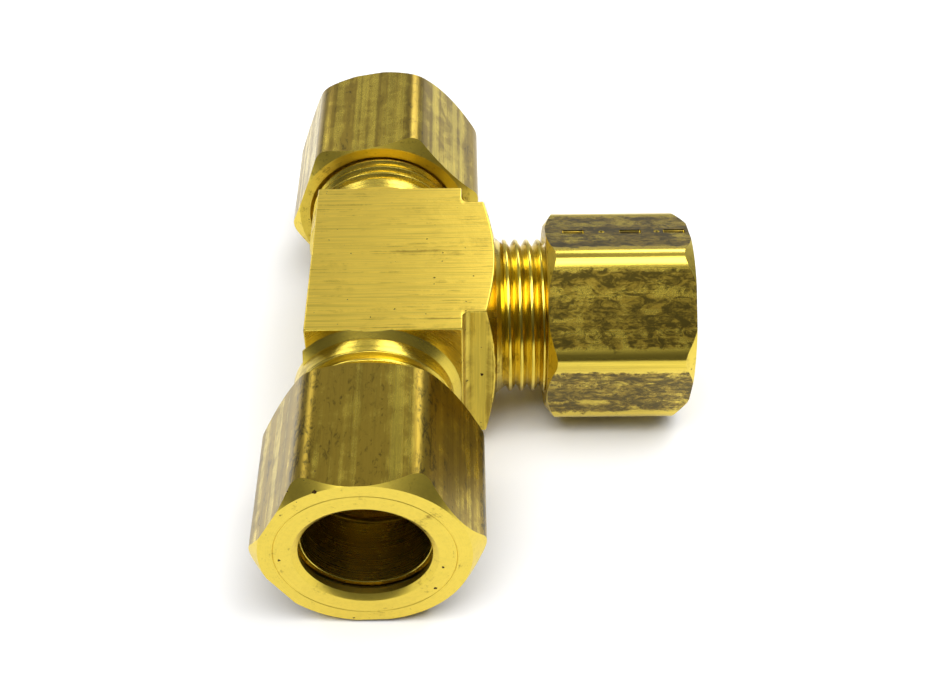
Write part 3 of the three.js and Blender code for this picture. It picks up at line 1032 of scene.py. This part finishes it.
# %% Nut finishes
nut_finishes = {
    # The front nut's negative corner amount paints shade along its corners.
    "run_front": [
        brass("drawn_front_nut_brass", drawn_lines, RUN_TURN, line_depth=0.008, roughness=0.24,
              tarnish=0.72, mottle=0.3, patchy=0.6, streaks=0.8, line_dirt=0.5, corners="run_front",
              corner_wear_and_shade=-0.4),
        brass("faced_front_nut_brass", faced_lines, RUN_TURN, line_depth=0.005, roughness=0.32,
              tarnish=0.10, line_dirt=0.1, pit_size=0.30),
    ],
    # The back nut's negative corner amount paints fainter shade along its corners.
    "run_back": [
        brass("drawn_back_nut_brass", drawn_lines, BACK_TURN, line_depth=0.008, roughness=0.24,
              tarnish=0.60, mottle=0.25, patchy=0.6, streaks=0.7, line_dirt=0.5, corners="run_back",
              corner_wear_and_shade=-0.2),
        brass("faced_back_nut_brass", faced_lines, BACK_TURN, line_depth=0.005, roughness=0.32,
              tarnish=0.25, line_dirt=0.1, pit_size=0.22),
    ],
    "branch": [
        brass("drawn_branch_nut_brass", drawn_lines, BRANCH_TURN, line_depth=0.008, tarnish=0.74,
              mottle=1.05, streaks=0.4, line_dirt=0.35, corners="branch", corner_wear_and_shade=1.2),
        brass("faced_branch_nut_brass", faced_lines, BRANCH_TURN, line_depth=0.005, roughness=0.30,
              tarnish=0.3, line_dirt=0.1, pit_size=0.2),
    ],
}
print("finishes:", len(bpy.data.materials))

# %% [markdown]
# ## Finishes onto pieces
# The sorters decide for every face, and the piece is then shaded. A sleeve is turned all over.

# %% Give every piece its finishes
give_finishes(body, body_finishes, body_finish)
shade(body)
for outlet in OUTLETS:
    give_finishes(nuts[outlet], nut_finishes[outlet], nut_finish(outlet))
    shade(nuts[outlet])
    turned_finish = body_finishes[TURNED_BRANCH if outlet == "branch" else TURNED_RUN]
    give_finishes(sleeves[outlet], [turned_finish], lambda at, normal: 0)
    shade(sleeves[outlet])
print("body slots:", [finish.name for finish in body.data.materials])

# %% [markdown]
# ## Floor
# The tee lies on the undersides of its three nuts. They aren't quite level, so the floor is laid
# as a plane through the three lowest points, and then lowered until nothing is below it.

# %% Floor
FLOOR_SIZE = 3.0          # metres
FLOOR_GAP = 0.02 * MM     # keeps the floor from touching the nuts
PAPER_WHITE = 0.95

feet = [min((v.co for v in piece.data.vertices), key=lambda co: co.z) for piece in nuts.values()]
floor_up = (feet[1] - feet[0]).cross(feet[2] - feet[0]).normalized()
if floor_up.z < 0:
    floor_up = -floor_up
lowest = min(
    (v.co - feet[0]).dot(floor_up) for piece in nuts.values() for v in piece.data.vertices
)
let_go()
under = feet[0] + floor_up * (lowest - FLOOR_GAP)
bpy.ops.mesh.primitive_plane_add(size=FLOOR_SIZE, location=under)
floor = new_piece("floor")
floor.rotation_mode = "QUATERNION"
floor.rotation_quaternion = floor_up.to_track_quat("Z", "Y")
paper = bpy.data.materials.new("white_paper")
paper.use_nodes = True
paper_shader = paper.node_tree.nodes["Principled BSDF"]
paper_shader.inputs["Base Color"].default_value = (PAPER_WHITE, PAPER_WHITE, PAPER_WHITE, 1)
paper_shader.inputs["Roughness"].default_value = 0.9
paper_shader.inputs["Specular IOR Level"].default_value = 0.0
floor.data.materials.append(paper)
print("floor leans, degrees:", round(math.degrees(floor_up.angle(Vector((0, 0, 1)))), 2))

# %% [markdown]
# ## Each piece on its body
# Every new piece stands for one CAD node and moves with that node's body, so the nuts turn and the
# sleeves slide with the joints of the CAD model.

# %% Ride and replace
RIDES = {
    "run_front": ("front_nut", "front_sleeve"),
    "run_back": ("back_nut", "back_sleeve"),
    "branch": ("branch_nut", "branch_sleeve"),
}
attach(body, "tee")
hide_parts("tee_body")
for outlet, (nut_body, sleeve_body) in RIDES.items():
    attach(nuts[outlet], nut_body)
    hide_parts(outlet + "_nut")
    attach(sleeves[outlet], sleeve_body)
    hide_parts(outlet + "_sleeve")
print("pieces on bodies:", 1 + len(nuts) + len(sleeves))

# %% [markdown]
# ## Size
# The finished pieces should fill the same box as the CAD model, apart from the round edges of the
# hexagons, which are a few hundredths of a millimetre smaller here.

# %% Finish
let_go()
